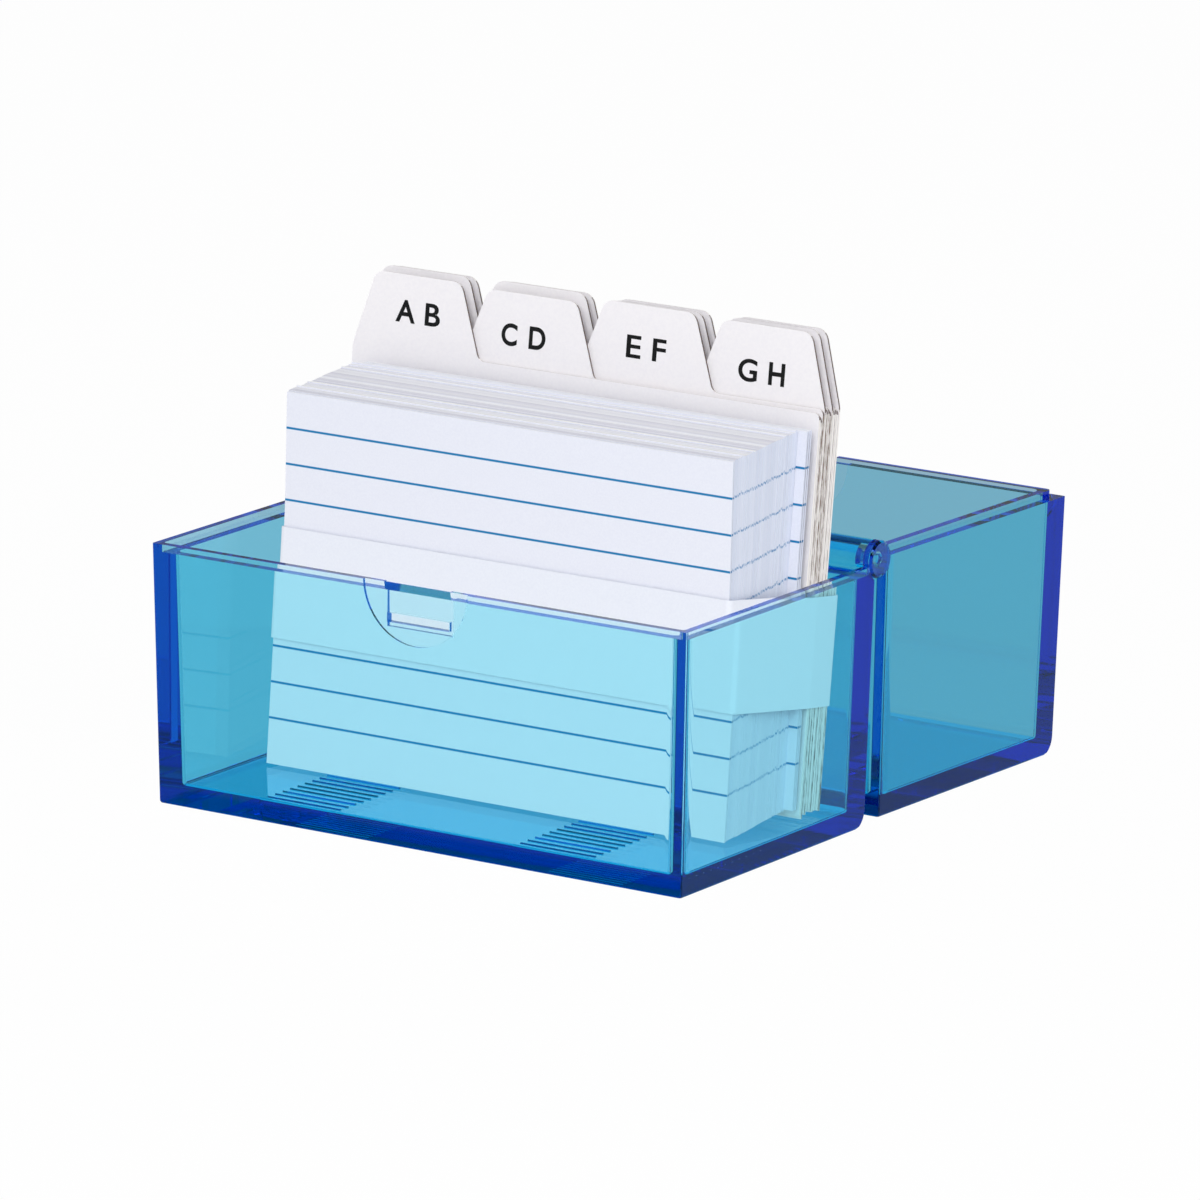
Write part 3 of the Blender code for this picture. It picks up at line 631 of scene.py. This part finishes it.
def make_lamp(name, place, side, power):
    data = bpy.data.lights.new(name, "AREA")
    data.shape = "SQUARE"
    data.size = side
    data.energy = power
    lamp = bpy.data.objects.new(name, data)
    lamp.location = place
    way = Vector(LAMP_TARGET) - Vector(place)
    lamp.rotation_euler = way.to_track_quat("-Z", "Y").to_euler()
    bpy.context.scene.collection.objects.link(lamp)


def background(tree, strength, colour=(1.0, 1.0, 1.0, 1.0)):
    node = tree.nodes.new("ShaderNodeBackground")
    node.inputs["Color"].default_value = colour
    if isinstance(strength, float):
        node.inputs["Strength"].default_value = strength
    else:
        tree.links.new(strength, node.inputs["Strength"])
    return node.outputs[0]


def mix_shader(tree, share, first, second):
    node = tree.nodes.new("ShaderNodeMixShader")
    tree.links.new(share, node.inputs[0])
    tree.links.new(first, node.inputs[1])
    tree.links.new(second, node.inputs[2])
    return node.outputs[0]


def plastic_rays(tree, paths):
    """One for rays that the plastic lets through or mirrors."""
    passed, mirrored = paths.outputs["Is Transmission Ray"], paths.outputs["Is Glossy Ray"]
    return math_node(tree, "ADD", passed, mirrored, clamp=True)


def make_world():
    """Even light on matt surfaces, a dim room for the plastic to mirror, and white for the camera."""
    world = bpy.data.worlds.new("studio")
    world.use_nodes = True
    tree = world.node_tree
    tree.nodes.clear()
    output = tree.nodes.new("ShaderNodeOutputWorld")
    paths = tree.nodes.new("ShaderNodeLightPath")
    place = tree.nodes.new("ShaderNodeTexCoord").outputs["Generated"]
    key = tree.nodes.new("ShaderNodeVectorMath")
    key.operation = "DOT_PRODUCT"
    key.inputs[1].default_value = Vector(KEY_SIDE).normalized()
    tree.links.new(place, key.inputs[0])
    split = tree.nodes.new("ShaderNodeSeparateXYZ")
    tree.links.new(place, split.inputs[0])
    level = ramp(tree, key.outputs["Value"], -1.0, 1.0, WORLD_LOW, WORLD_HIGH)
    light = background(tree, level, WORLD_TINT)
    overhead = ramp(tree, split.outputs["Z"], 0.0, MIRROR_RISE, MIRROR_HORIZON, MIRROR_OVERHEAD)
    room = background(tree, overhead)
    seen = mix_shader(tree, plastic_rays(tree, paths), light, room)
    seen = mix_shader(tree, paths.outputs["Is Camera Ray"], seen, background(tree, 1.0))
    tree.links.new(seen, output.inputs["Surface"])
    bpy.context.scene.world = world


def make_floor():
    """White to the camera, and where the plastic shows or mirrors it, a table painted with grey shade and
    blue shadow.
    """
    made, tree, output = material("floor_white")
    paths = tree.nodes.new("ShaderNodeLightPath")
    split = tree.nodes.new("ShaderNodeSeparateXYZ")
    tree.links.new(tree.nodes.new("ShaderNodeTexCoord").outputs["Object"], split.inputs[0])
    across, along = split.outputs["X"], split.outputs["Y"]
    # Painted shade that changes towards the back right, and a painted blue shadow under the box
    painted_falloff = ramp(tree, math_node(tree, "ADD", across, along), FALL_START, FALL_END)
    painted_table = mix_colour(tree, painted_falloff, TABLE_NEAR_PAINTED_BLUE_SHADE, TABLE_FAR_PAINTED_SHADE)
    painted_shadow_mask = within(tree, across, -UNDER_HALF_WIDE, UNDER_HALF_WIDE, UNDER_SOFT)
    painted_shadow_mask = math_node(tree, "MULTIPLY", painted_shadow_mask, within(tree, along, UNDER_FRONT, UNDER_BACK, UNDER_SOFT))
    painted_table = mix_colour(tree, painted_shadow_mask, painted_table, TABLE_UNDER_PAINTED_BLUE_SHADOW)
    diffuse = tree.nodes.new("ShaderNodeBsdfDiffuse")
    diffuse.inputs["Color"].default_value = FLOOR_WHITE
    white = tree.nodes.new("ShaderNodeEmission")
    painted_table_glow = tree.nodes.new("ShaderNodeEmission")
    tree.links.new(painted_table, painted_table_glow.inputs["Color"])
    camera = math_node(tree, "MULTIPLY", paths.outputs["Is Camera Ray"], FLOOR_GLOW)
    seen = mix_shader(tree, camera, diffuse.outputs[0], white.outputs[0])
    seen = mix_shader(tree, plastic_rays(tree, paths), seen, painted_table_glow.outputs[0])
    tree.links.new(seen, output.inputs["Surface"])
    bm = bmesh.new()
    bmesh.ops.create_grid(bm, x_segments=1, y_segments=1, size=FLOOR_HALF)
    floor = mesh_object("floor", bm, made)
    floor.location = (0, 0, -FLOOR_DROP * MM)


def set_material(node, surface):
    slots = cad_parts[node].data.materials
    slots.clear()
    slots.append(surface)


def main():
    scene = bpy.context.scene
    scene.view_settings.view_transform = "Standard"
    scene.cycles.max_bounces = LIGHT_BOUNCES
    scene.cycles.transmission_bounces = LIGHT_BOUNCES
    scene.cycles.glossy_bounces = LIGHT_BOUNCES
    make_camera()
    make_world()
    for lamp in LAMPS:
        make_lamp(*lamp)
    make_floor()
    make_shell("base_moulding", "base_tray", "base", plastic_material("base_plastic"))
    make_shell("lid_moulding", "lid_shell", "lid", plastic_material("lid_plastic"))
    board = board_material()
    card = card_material()
    draws = random.Random(DRAW_SEED)
    make_cards("front_card_ruled", "front_card", 1, card, draws)
    for i in range(1, BUNDLES + 1):
        node = "card_bundle_%d" % i
        make_cards(node + "_sheets", node, SHEETS_IN_BUNDLE, card, draws)
    for i in range(1, LOOSE_CARDS + 1):
        node = "loose_card_%d" % i
        make_cards(node + "_ruled", node, 1, card, draws)
    set_material("paper_band", band_material())
    ink = ink_material()
    for pair, first, second, baseline in LETTER_PLACES:
        set_material("divider_" + pair, board)
        make_letters(pair, (first, second), baseline, ink)


main()
